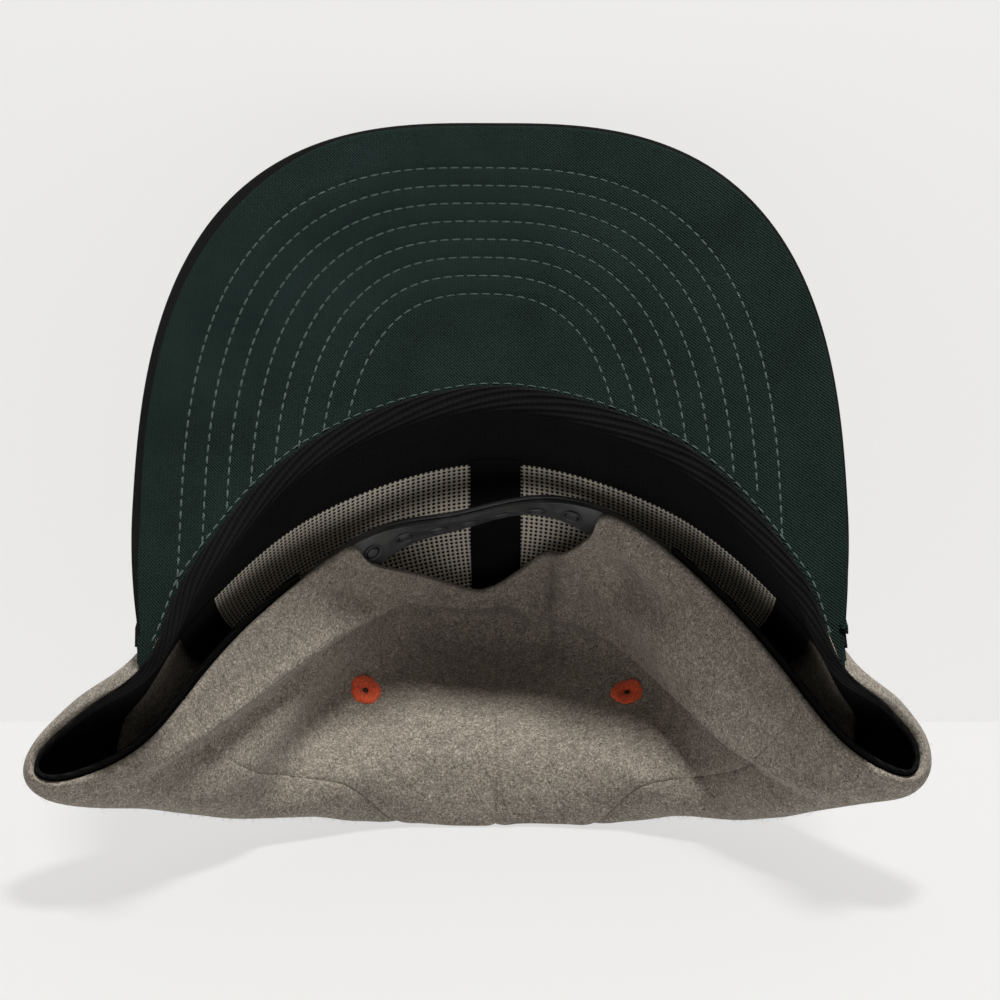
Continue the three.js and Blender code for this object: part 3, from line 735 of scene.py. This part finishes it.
def band_depth(u, v):
    """The sweatband's visible face: rolled over the rim beside the peak, flat further down."""
    roll = 1 - smooth(np.abs(u), 3.0, 3.9)
    bulge = 1.3 * np.exp(-((v - 0.026) / 0.018) ** 2) + 0.35 * np.exp(-((v - 0.066) / 0.01) ** 2)
    over = smooth(-v, -BAND_OVER_RIM, BAND_OVER_RIM)
    return BAND_DEPTH + bulge * (0.35 + 0.65 * roll) - over * (0.8 + 3.2 * roll)


class CAP_OT_linings(bpy.types.Operator):
    """Mesh behind the front panels, the tapes over the seams and the sweatband"""
    bl_idname = "cap.linings"
    bl_label = "Linings"

    def execute(self, context):
        def add_tape(name, place, depth, node_name):
            tape = cloth_grid(name, 10, 60, tape_shape(place, depth))
            thicken(tape, TAPE_THICKNESS)
            finish_piece(tape, FINISHES["tape"], (node_name,))

        for side, sign in (("right", 1), ("left", -1)):
            low, high = sorted((0, sign * SEAMS[1]))
            shape = strip_shape(low, high, LINING_TOP, LINING_END, mesh_depth)
            piece = cloth_grid(f"mesh_{side}", 44, 62, shape)
            thicken(piece, MESH_THICKNESS)
            finish_piece(piece, FINISHES["mesh"], (f"front_mesh_{side}",))
            for name, place, depth in SIDE_TAPES:
                add_tape(f"tape_{name}_{side}", sign * place, depth, f"{name}_tape_{side}")
        add_tape("tape_front", 0, FRONT_TAPE_DEPTH, "front_tape")
        shape = strip_shape(-BAND_END, BAND_END, -BAND_OVER_RIM, BAND_WIDTH / CROWN_LENGTH, band_depth)
        piece = cloth_grid("sweatband_cloth", 330, 26, shape)
        thicken(piece, BAND_THICKNESS)
        finish_piece(piece, FINISHES["band"], ("sweatband",))
        return {"FINISHED"}


def peak_edge(share):
    """The peak's outline from its tip (0) to the end of a wing (1 or -1), as x and t."""
    side, along = np.sign(share), np.abs(share) / WING_SHARE
    angle = np.minimum(along, 1) * math.pi / 2
    x = PEAK_HALF_WIDTH * np.sin(angle) ** (2 / PEAK_ROUNDNESS)
    t = PEAK_REACH - PEAK_SHOULDER * (1 - np.cos(angle) ** (2 / PEAK_ROUNDNESS))
    past = np.maximum(np.abs(share) - WING_SHARE, 0) / (1 - WING_SHARE)
    return side * (x - WING_TAPER * past ** 2), t - past * WING_LENGTH


def peak_line(share, down):
    """The peak's root, some mm down from the rim, and its edge at a share -1 to 1 across, as x and t."""
    u = PEAK_END * share
    root = inside(u, np.full(u.shape, down / CROWN_LENGTH), 0.6 - 0.8 * share ** 4)
    t = (root - ROOT_MIDDLE) @ OUTWARD
    angle = np.arcsin(np.clip(root[:, 0] / ROOT_HALF_WIDTH, -ROOT_END, ROOT_END))
    edge_x, edge_t = peak_edge(angle / math.asin(ROOT_END))
    return root[:, 0], t, edge_x + PEAK_OFFSET, edge_t


# The outermost stitch row, the steps between rows and the groove that each pulls in
ROW_HALF_WIDTH = 76.8
ROW_MIDDLE = -3.5
ROW_STEP_SIDE = 5.67
ROW_STEP_TIP = 5.57
ROW_STEP_USUAL = 5.6
ROW_TIP = 15.2
ROW_GROOVE_DEPTH = 0.32
ROW_GROOVE_WIDTH = 0.9
ROW_THREAD = 0.5
# The black cover's round edge, how far it turns back under the peak, and how deep its root lies
COVER_ROUND = 1.6
COVER_BACK = 5
COVER_MIDDLE = 1.85
COVER_ROOT = 3.4
COVER_THICKNESS = 0.9
UNDER_THICKNESS = 1.2


def stitch_row_number(x, t):
    """The stitch row through a point of the peak, as a running number counted in from the edge."""
    middle = PEAK_REACH - PEAK_SHOULDER
    low, high = np.full(x.shape, -8.0), np.full(x.shape, 13.0)
    for _ in range(22):
        row = (low + high) / 2
        wide = np.abs(x - ROW_MIDDLE) / (ROW_HALF_WIDTH - ROW_STEP_SIDE * row)
        tall = np.maximum(t - middle, 0) / (PEAK_SHOULDER - ROW_TIP - ROW_STEP_TIP * row)
        outside = wide ** PEAK_ROUNDNESS + tall ** PEAK_ROUNDNESS > 1
        high = np.where(outside, row, high)
        low = np.where(outside, low, row)
    return (low + high) / 2


def quilting(x, t):
    """Depth of the shallow grooves that the stitch rows pull into the underpeak, in mm."""
    rows = bpy.context.scene.cap_sizes.stitch_rows
    number = stitch_row_number(x, t)
    nearest = np.clip(np.round(number), 0, rows - 1)
    return ROW_GROOVE_DEPTH * np.exp(-((number - nearest) * ROW_STEP_USUAL / ROW_GROOVE_WIDTH) ** 2)


def under_shape(s, t):
    """The green underside, from the crown out to the black edge."""
    share = 2 * s - 1
    x0, t0, x1, t1 = peak_line(share, 0)
    inset = 1.0 + 2.6 * smooth(-x1, 40, 80)
    length = np.hypot(x1 - x0, t1 - t0)
    keep = 1 - inset / length
    x = x0 + t * keep * (x1 - x0)
    y = t0 + t * keep * (t1 - t0)
    turned = 0.9 * smooth(t, 1 - 1.4 / np.maximum(length, 5), 1)
    return peak_point(x, y, quilting(x, y) - 0.3 + turned), np.c_[x, y]


def top_shape(s, t):
    """The black upper side, wrapped round the peak's edge on to the underside."""
    share = 1 - 2 * s
    x0, t0, x1, t1 = peak_line(share, COVER_ROOT)
    length = np.hypot(x1 - x0, t1 - t0)
    ahead = np.c_[x1 - x0, t1 - t0] / length[:, None]
    flat = np.clip(t / 0.8, 0, 1) * (length - COVER_ROUND)
    turn = np.clip((t - 0.8) / 0.12, 0, 1) * math.pi
    back = np.clip((t - 0.92) / 0.08, 0, 1) * COVER_BACK
    out = flat + COVER_ROUND * np.sin(turn) - back
    depth = COVER_MIDDLE + COVER_ROUND * np.cos(turn)
    x = x0 + out * ahead[:, 0]
    y = t0 + out * ahead[:, 1]
    return peak_point(x, y, depth), np.c_[x, y]


def stitch_run(points, length, pitch):
    """Stitches along a run of points in mm: short rounded threads whose ends sink into the cloth."""
    along = steps_along(points)
    places = np.arange(pitch / 2, along[-1] - pitch / 2, pitch)

    def at(place):
        return np.stack([np.interp(place, along, points[:, axis]) for axis in range(3)], axis=1)

    ones = np.ones(len(places))
    sizes = (ones * length / 2000, ones * ROW_THREAD / 2000, ones * ROW_THREAD / 2000)
    ahead = at(places + 0.5) - at(places - 0.5)
    return axes_matrix(placed(at(places)), ahead, np.broadcast_to(UNDER, ahead.shape), sizes)


def row_path(row):
    """The line of one stitch row round the peak, from the crown to the crown."""
    middle = PEAK_REACH - PEAK_SHOULDER
    half = ROW_HALF_WIDTH - ROW_STEP_SIDE * row
    tall = PEAK_SHOULDER - ROW_TIP - ROW_STEP_TIP * row
    angle = np.linspace(-math.pi / 2, math.pi / 2, 400)
    x = half * np.sign(np.sin(angle)) * np.abs(np.sin(angle)) ** (2 / PEAK_ROUNDNESS)
    t = middle + tall * np.maximum(np.cos(angle), 0) ** (2 / PEAK_ROUNDNESS)
    down = np.arange(middle - 90, middle, 1.0)
    x = np.concatenate([np.full(len(down), -half), x, np.full(len(down), half)]) + ROW_MIDDLE
    t = np.concatenate([down, t, down[::-1]])
    root = -ROOT_DEPTH * (1 - np.sqrt(np.maximum(1 - (x / ROOT_HALF_WIDTH) ** 2, 0)))
    keep = t > root + 1.5
    return peak_point(x[keep], t[keep], -0.05)


def root_path():
    """The line of stitches that runs along the peak's root."""
    x0, t0, x1, t1 = peak_line(np.linspace(-0.93, 0.93, 300), 0)
    length = np.hypot(x1 - x0, t1 - t0)
    share = np.minimum(2.6, length * 0.3) / length
    return peak_point(x0 + (x1 - x0) * share, t0 + (t1 - t0) * share, -0.35)


def stitches(name, runs, material):
    deselect()
    bpy.ops.mesh.primitive_uv_sphere_add(segments=8, ring_count=6, radius=1, rotation=(0, math.pi / 2, 0))
    bpy.ops.object.transform_apply(location=True, rotation=True, scale=True)
    master = bpy.context.active_object
    for vertex in master.data.vertices:
        vertex.co.x = math.copysign(abs(vertex.co.x) ** 0.6, vertex.co.x)
        vertex.co.z -= 0.7 * vertex.co.x ** 4
    piece = repeated(name, master, np.concatenate(runs))
    return finish_piece(piece, material)


class CAP_OT_peak(bpy.types.Operator):
    """The peak: black upper side with a wrapped edge, quilted green underside and its stitch rows"""
    bl_idname = "cap.peak"
    bl_label = "Peak"

    def execute(self, context):
        sizes = context.scene.cap_sizes
        piece = cloth_grid("peak_upper", 150, 100, top_shape)
        thicken(piece, COVER_THICKNESS, False)
        finish_piece(piece, FINISHES["black"], ("peak_top_cover",))
        piece = cloth_grid("peak_under", 190, 170, under_shape)
        thicken(piece, UNDER_THICKNESS, False)
        finish_piece(piece, FINISHES["green"], ("peak_under_cover",))
        length = sizes.stitch_length
        runs = [stitch_run(row_path(row), length, length + 0.7) for row in range(sizes.stitch_rows)]
        runs.append(stitch_run(root_path(), 2.4, 3.2))
        stitches("peak_stitches", runs, FINISHES["green thread"])
        return {"FINISHED"}


# The strap: its ends in sections round the rim, then lengths in mm
STRAP_START = 8.55
STRAP_INSET = 2.5
STRAP_WIDTH = 17
STRAP_THICKNESS = 1.2
STRAP_PITCH = 9
STRAP_HOLE = 4.2
STRAP_HOLES = 7
STRAP_RIM = 0.4
PEG_RADIUS = 1.75
PEG_LENGTH = 2.4


def strap_strip(name, rows, depth):
    """A flat strip of the strap at a depth inside the crown's face, with square edges."""
    def shape(s, t):
        u = STRAP_START + s * (LAP - 2 * STRAP_START)
        v = (STRAP_INSET + t * STRAP_WIDTH) / CROWN_LENGTH
        return inside(u, v, np.full(u.shape, depth)), np.c_[(u - LAP / 2) * 30, v * CROWN_LENGTH]

    piece = cloth_grid(name, 120, rows, shape)
    apply_modifier(piece, "SOLIDIFY", "Strip", thickness=STRAP_THICKNESS / 1000, offset=-1)
    return piece


def round_edges(piece, width, segments):
    apply_modifier(piece, "BEVEL", "Edge", width=width / 1000, segments=segments, limit_method="ANGLE",
                   angle_limit=0.8)


def at_holes(name, depth):
    """One piece of copies of the active piece, at each hole of the strap and at a depth in mm."""
    v = (STRAP_INSET + STRAP_WIDTH / 2) / CROWN_LENGTH
    fine = np.linspace(8.5, 11.5, 400)
    along = steps_along(crown(fine, np.full(fine.shape, v)))
    centre = np.interp(LAP / 2, fine, along)
    u = np.interp(centre + (np.arange(STRAP_HOLES) - (STRAP_HOLES - 1) / 2) * STRAP_PITCH, along, fine)
    v = np.full(u.shape, v)
    ahead = crown(u + 0.02, v) - crown(u - 0.02, v)
    places = placed(inside(u, v, np.full(u.shape, depth)))
    ones = np.ones(STRAP_HOLES)
    frames = axes_matrix(places, ahead, crown_normal(u, v), (ones, ones, ones))
    return repeated(name, bpy.context.active_object, frames)


class CAP_OT_strap(bpy.types.Operator):
    """The snap strap: a strip with rimmed holes over a strip with pegs"""
    bl_idname = "cap.strap"
    bl_label = "Snap strap"

    def execute(self, context):
        outer = strap_strip("strap_outer", 18, 3.2)
        deselect()
        bpy.ops.mesh.primitive_cylinder_add(vertices=24, radius=STRAP_HOLE / 2000, depth=0.006)
        cutter = at_holes("hole_cutter", 3.8)
        apply_modifier(outer, "BOOLEAN", "Holes", object=cutter, operation="DIFFERENCE", solver="EXACT")
        bpy.data.objects.remove(cutter)
        round_edges(outer, 0.3, 2)
        finish_piece(outer, FINISHES["plastic"], ("strap_with_holes",))
        deselect()
        bpy.ops.mesh.primitive_torus_add(major_segments=32, minor_segments=8,
                                         major_radius=(STRAP_HOLE / 2 + STRAP_RIM) / 1000,
                                         minor_radius=STRAP_RIM / 1000)
        finish_piece(at_holes("strap_hole_rims", 3.15), FINISHES["plastic"])
        inner = strap_strip("strap_inner", 10, 4.7)
        round_edges(inner, 0.3, 2)
        finish_piece(inner, FINISHES["plastic"], ("strap_with_pegs",))
        deselect()
        bpy.ops.mesh.primitive_cylinder_add(vertices=24, radius=PEG_RADIUS / 1000, depth=PEG_LENGTH / 1000)
        round_edges(bpy.context.active_object, 0.4, 3)
        finish_piece(at_holes("strap_pegs", 4.0), FINISHES["plastic"])
        return {"FINISHED"}


# Eyelets: name, and place round and down
EYELETS = [("front", 1.05, 0.43), ("side", 3.7, 0.43), ("back", 8.4, 0.462)]
EYELET_MIDDLE = 2.6
EYELET_ROUND = 1.75
EYELET_THREADS = 42


def eyelet_frame(u, v):
    """An eyelet's middle on the crown, its way round the crown and its way outward."""
    u, v = np.array([u]), np.array([v])
    ahead = (crown(u + 0.02, v) - crown(u - 0.02, v))[0]
    return crown(u, v)[0], ahead / np.linalg.norm(ahead), crown_normal(u, v)[0]


def eyelet_points(flat, u, v, sign):
    """Bends a flat ring's points on to the wool as a rim of radial threads, and gives the wool's height."""
    angle = np.arctan2(flat[:, 1], flat[:, 0])
    radius = np.hypot(flat[:, 0], flat[:, 1])
    ridge = 0.5 + 0.5 * np.cos(EYELET_THREADS * angle)
    uneven = 0.12 * np.sin(5 * angle + u) + 0.1 * np.sin(11 * angle + 2 * v)
    height = flat[:, 2] * 0.5 + 0.22 * ridge * (flat[:, 2] > -0.2)
    radius = radius + uneven * (radius > EYELET_MIDDLE) + 0.12 * ridge * (radius > EYELET_MIDDLE + 1)
    centre, ahead, normal = eyelet_frame(sign * u, v)
    around, down = radius * np.cos(angle), radius * np.sin(angle)
    step = np.array([0.01])
    per_v = np.linalg.norm(crown(sign * u, v + step)[0] - crown(sign * u, v - step)[0]) / 0.02
    at_u = sign * u + around / reach(np.array([sign * u]), np.array([v]))
    at_v = v + down / per_v
    ground = (inside(at_u, at_v, wool_relief(at_u, at_v)) - centre) @ normal
    points = (centre + around[:, None] * ahead + down[:, None] * np.cross(normal, ahead)
              + (ground + height + 0.1)[:, None] * normal)
    return points, ground[radius.argmin()]


class CAP_OT_eyelets(bpy.types.Operator):
    """Embroidered vent eyelets: a ring of radial threads round each hole"""
    bl_idname = "cap.eyelets"
    bl_label = "Eyelets"

    def execute(self, context):
        holes = []
        for side, sign in (("right", 1), ("left", -1)):
            for name, u, v in EYELETS:
                deselect()
                bpy.ops.mesh.primitive_torus_add(major_segments=4 * EYELET_THREADS, minor_segments=14,
                                                 major_radius=EYELET_MIDDLE, minor_radius=EYELET_ROUND)
                piece = context.active_object
                piece.name = f"eyelet_{name}_{side}"
                flat = np.array([vertex.co for vertex in piece.data.vertices])
                points, ground = eyelet_points(flat, u, v, sign)
                piece.data.vertices.foreach_set("co", placed(points).ravel())
                piece.data.update()
                finish_piece(piece, FINISHES["orange"], (f"{name}_eyelet_{side}",))
                centre, ahead, normal = eyelet_frame(sign * u, v)
                holes.append((centre + ground * normal, ahead, normal))
        # Small dark discs in the eyelets' middles: painted shade for the dark inside seen through the holes
        deselect()
        bpy.ops.mesh.primitive_uv_sphere_add(segments=16, ring_count=8, radius=0.001)
        ones = np.ones(len(holes))
        places, ahead, up = (np.array(column) for column in zip(*holes))
        piece = repeated("eyelet_hole_shade", bpy.context.active_object,
                         axes_matrix(placed(places), ahead, up, (ones, ones, 0.35 * ones)))
        finish_piece(piece, FINISHES["hole"])
        return {"FINISHED"}


class CAP_OT_button(bpy.types.Operator):
    """The covered button under the crown"""
    bl_idname = "cap.button"
    bl_label = "Button"

    def execute(self, context):
        low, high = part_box("button")
        deselect()
        bpy.ops.mesh.primitive_uv_sphere_add(segments=48, ring_count=24, location=(low + high) / 2)
        piece = bpy.context.active_object
        piece.name = "covered_button"
        size = (high - low) / 2
        for vertex in piece.data.vertices:
            x, y, z = vertex.co
            edge = 1 - 0.04 * math.cos(6 * math.atan2(y, x)) * math.hypot(x, y)
            plump = math.copysign(abs(z) ** 0.7, z)
            vertex.co = Vector((x * size.x * edge, y * size.y * edge, plump * size.z))
        bpy.ops.object.transform_apply(location=True, rotation=True, scale=True)
        finish_piece(piece, FINISHES["wool"], ("button",))
        return {"FINISHED"}


class CAP_OT_fuzz(bpy.types.Operator):
    """Short loose fibres all over the wool"""
    bl_idname = "cap.fuzz"
    bl_label = "Fuzz"

    def execute(self, context):
        count = context.scene.cap_sizes.fuzz_count
        rng = np.random.default_rng(7)
        deselect()
        bpy.ops.mesh.primitive_cone_add(vertices=3, radius1=1, radius2=0.25, depth=1, end_fill_type="NGON")
        master = bpy.context.active_object
        bpy.ops.object.mode_set(mode="EDIT")
        bpy.ops.mesh.select_all(action="SELECT")
        bpy.ops.mesh.bisect(plane_co=(0, 0, 0), plane_no=(0, 0, 1))
        bpy.ops.object.mode_set(mode="OBJECT")
        for vertex in master.data.vertices:
            height = vertex.co.z + 0.5
            vertex.co = Vector((height, vertex.co.x, vertex.co.y + 12 * height * (1 - height)))
        u = rng.uniform(-10, 10, count)
        v = rng.uniform(0, 0.93, count) ** 0.8 * 0.93
        top = arch_top(u)
        v = np.maximum(v, top + 0.004)
        ground = inside(u, v, wool_relief(u, v) - 0.02)
        clear = ground[:, 2] > 2.5
        u, v, ground = u[clear], v[clear], ground[clear]
        count = len(ground)
        normal = crown_normal(u, v)
        lean = rng.normal(0, 1, (count, 3))
        ahead = lean + normal * rng.uniform(0.15, 1.3, count)[:, None]
        length = rng.uniform(0.5, 1.9, count) / 1000
        width = rng.uniform(0.018, 0.034, count) / 1000
        matrices = axes_matrix(placed(ground), ahead, normal, (length, width, width))
        piece = repeated("wool_fuzz", master, matrices)
        finish_piece(piece, FINISHES["fuzz"])
        return {"FINISHED"}


# The floor lies just under the cap, and the wall stands just behind it, as the photograph shows them
STAGE_SIZE = 8
FLOOR_Z = -0.0002
WALL_Y = 0.0736
# Lights: name, place, size and power, and colour
LIGHTS = [
    ("top_light", (0.14, -0.2, 1.25), 0.24, 18.0, (1.0, 0.99, 0.965)),
    ("front_light", (0.3, -1.9, 1.1), 1.2, 2.0, (1.0, 0.98, 0.95)),
]
CAMERA_PLACE = np.array((1.25, -695.1, 320.1))
CAMERA_TILT = math.radians(72)
CAMERA_LENS = 98.28
CAMERA_SENSOR = 36


class CAP_OT_stage(bpy.types.Operator):
    """Floor and wall, lights and the camera"""
    bl_idname = "cap.stage"
    bl_label = "Stage"

    def execute(self, context):
        scene = context.scene
        deselect()
        bpy.ops.mesh.primitive_plane_add(size=STAGE_SIZE, location=(0, 0, FLOOR_Z))
        floor = context.active_object
        floor.name = "floor"
        bpy.ops.object.transform_apply(location=True, rotation=True, scale=True)
        floor.data.materials.append(FINISHES["floor"])
        bpy.ops.mesh.primitive_plane_add(size=STAGE_SIZE, location=(0, WALL_Y, STAGE_SIZE / 2),
                                         rotation=(math.pi / 2, 0, 0))
        wall = context.active_object
        wall.name = "wall"
        bpy.ops.object.transform_apply(location=True, rotation=True, scale=True)
        wall.data.materials.append(FINISHES["wall"])
        for name, place, size, power, tint in LIGHTS:
            light = bpy.data.lights.new(name, "AREA")
            light.shape = "DISK"
            light.size = size
            light.energy = power
            light.color = tint
            item = bpy.data.objects.new(name, light)
            item.location = place
            aim = Vector((0, 0, 0.06)) - Vector(place)
            item.rotation_euler = aim.to_track_quat("-Z", "Y").to_euler()
            scene.collection.objects.link(item)
        world = bpy.data.worlds.new("studio")
        world.use_nodes = True
        background = world.node_tree.nodes["Background"]
        background.inputs["Color"].default_value = (1, 0.94, 0.84, 1)
        background.inputs["Strength"].default_value = 0.17
        scene.world = world
        scene.view_settings.view_transform = "Standard"
        camera = bpy.data.cameras.new("photo_camera")
        camera.sensor_width = CAMERA_SENSOR
        camera.lens = CAMERA_LENS
        camera.clip_start = 0.01
        item = bpy.data.objects.new("photo_camera", camera)
        item.location = placed(CAMERA_PLACE)
        item.rotation_euler = (CAMERA_TILT, 0, 0)
        scene.collection.objects.link(item)
        scene.camera = item
        return {"FINISHED"}


class CAP_PT_panel(bpy.types.Panel):
    """Lists the cap's pieces"""
    bl_label = "Snapback Cap"
    bl_idname = "CAP_PT_panel"
    bl_space_type = "VIEW_3D"
    bl_region_type = "UI"
    bl_category = "Cap"

    def draw(self, context):
        for operator in OPERATORS:
            self.layout.operator(operator.bl_idname)
        for group in (context.scene.cap_sizes, context.scene.cap_colours):
            for name in group.__annotations__:
                self.layout.prop(group, name)


OPERATORS = (CAP_OT_crown, CAP_OT_linings, CAP_OT_peak, CAP_OT_strap, CAP_OT_eyelets, CAP_OT_button,
             CAP_OT_fuzz, CAP_OT_stage)
CLASSES = (CapSizes, CapColours, *OPERATORS, CAP_PT_panel)


def register():
    for item in CLASSES:
        bpy.utils.register_class(item)
    bpy.types.Scene.cap_sizes = bpy.props.PointerProperty(type=CapSizes)
    bpy.types.Scene.cap_colours = bpy.props.PointerProperty(type=CapColours)


def unregister():
    del bpy.types.Scene.cap_colours
    del bpy.types.Scene.cap_sizes
    for item in reversed(CLASSES):
        bpy.utils.unregister_class(item)


def build_finishes(colours):
    GROUPS["fibres"] = fibre_group()
    GROUPS["weave"] = weave_group()
    FINISHES["wool"] = wool_material(colours)
    FINISHES["fuzz"] = thread_material("Loose Wool Fibres", tuple(colours.wool_pale))
    FINISHES["green"] = twill_material("Underpeak Twill", tuple(colours.green), 0.0009, 0.0004,
                                       contrast=0.6, nap=0.9)
    FINISHES["green thread"] = thread_material("Underpeak Thread", tuple(colours.green_thread))
    black = tuple(colours.black)
    FINISHES["black"] = twill_material("Black Twill", black, 0.0008, 0.0002)
    FINISHES["band"] = twill_material("Sweatband Twill", black, 0.0011, 0.0003, slope=0.12)
    FINISHES["tape"] = twill_material("Tape Satin", black, 0.0006, 0.00012, nap=0.1)
    FINISHES["mesh"] = mesh_material(colours)
    FINISHES["plastic"] = plastic_material(colours)
    FINISHES["orange"] = thread_material("Eyelet Thread", tuple(colours.orange))
    # The eyelets' dark discs: painted shade
    FINISHES["hole"] = thread_material("Eyelet Hole Shade", tuple(colours.hole), 0)
    FINISHES["floor"] = stage_material("Pale Floor", tuple(colours.floor), 0.65)
    FINISHES["wall"] = stage_material("Pale Wall", tuple(colours.wall), 0.7)


def main():
    register()
    build_finishes(bpy.context.scene.cap_colours)
    for operator in OPERATORS:
        group, name = operator.bl_idname.split(".")
        getattr(getattr(bpy.ops, group), name)()


if __name__ == "__main__":
    main()
